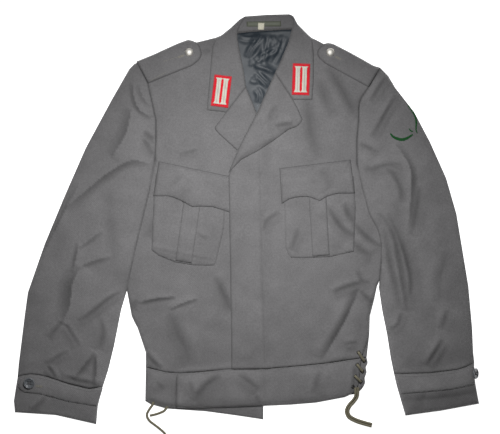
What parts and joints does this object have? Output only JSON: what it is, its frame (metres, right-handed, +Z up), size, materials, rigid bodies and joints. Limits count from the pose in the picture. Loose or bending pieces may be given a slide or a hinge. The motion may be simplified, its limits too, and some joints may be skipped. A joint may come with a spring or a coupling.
{
  "type": "uniform jacket",
  "caption": "Waist-length wool uniform jacket laid flat on its back, with lapels, two flapped chest pockets, shoulder straps, buttoned cuffs and a laced waistband.",
  "frame": {"origin": "on the table, under the centre of the jacket's box as it lies flat", "axes": "+X to the wearer's left, across the cuffs; +Y to the collar; +Z up from the table, out of the jacket's front"},
  "size_m": [0.8596, 0.7974, 0.0209],
  "materials": {
    "wool_twill": "matt grey wool twill with a short nap",
    "lining_satin": "blue-grey lining satin, soft sheen",
    "patch_felt": "matt red badge felt",
    "braid": "off-white woven braid",
    "button_silver": "pressed metal, grained, dull polish",
    "button_dark": "moulded resin, polished",
    "eyelet_metal": "lacquered metal",
    "lace_cord": "braided cotton lace",
    "ribbon": "woven satin ribbon",
    "label_cloth": "plain woven tape, bare"
  },
  "bodies": {
    "root": {"collar_fall_back": "wool_twill", "back": "wool_twill", "back_waistband": "wool_twill", "collar_stand": "wool_twill", "hanger_loop": "ribbon", "size_label": "label_cloth", "back_lining": "lining_satin", "waistband_right": "wool_twill", "front_right": "wool_twill", "pocket_right": "wool_twill", "pocket_pleat_right": "wool_twill", "pocket_flap_right": "wool_twill", "lapel_right": "wool_twill", "front_left": "wool_twill", "pocket_left": "wool_twill", "pocket_pleat_left": "wool_twill", "pocket_flap_left": "wool_twill", "lapel_left": "wool_twill", "waistband_left": "wool_twill", "under_sleeve_right": "wool_twill", "top_sleeve_right": "wool_twill", "cuff_under_right": "wool_twill", "cuff_top_right": "wool_twill", "cuff_strap_right": "wool_twill", "under_sleeve_left": "wool_twill", "top_sleeve_left": "wool_twill", "cuff_under_left": "wool_twill", "cuff_top_left": "wool_twill", "cuff_strap_left": "wool_twill", "collar_leaf_right": "wool_twill", "collar_patch_right": "patch_felt", "patch_bar_right_1": "braid", "patch_bar_right_2": "braid", "collar_leaf_left": "wool_twill", "collar_patch_left": "patch_felt", "patch_bar_left_1": "braid", "patch_bar_left_2": "braid", "epaulette_right": "wool_twill", "shoulder_button_right": "button_silver", "epaulette_left": "wool_twill", "shoulder_button_left": "button_silver", "cuff_button_right": "button_dark", "cuff_button_left": "button_dark", "eyelet_front_1": "eyelet_metal", "eyelet_front_2": "eyelet_metal", "eyelet_front_3": "eyelet_metal", "eyelet_front_4": "eyelet_metal", "eyelet_back_5": "eyelet_metal", "eyelet_back_6": "eyelet_metal", "eyelet_back_7": "eyelet_metal", "side_lace_1": "lace_cord", "side_lace_2": "lace_cord", "side_lace_3": "lace_cord", "lace_tail_left_1": "lace_cord", "lace_tail_left_2": "lace_cord", "lace_tail_right_1": "lace_cord", "lace_tail_right_2": "lace_cord"}
  },
  "joints": []
}
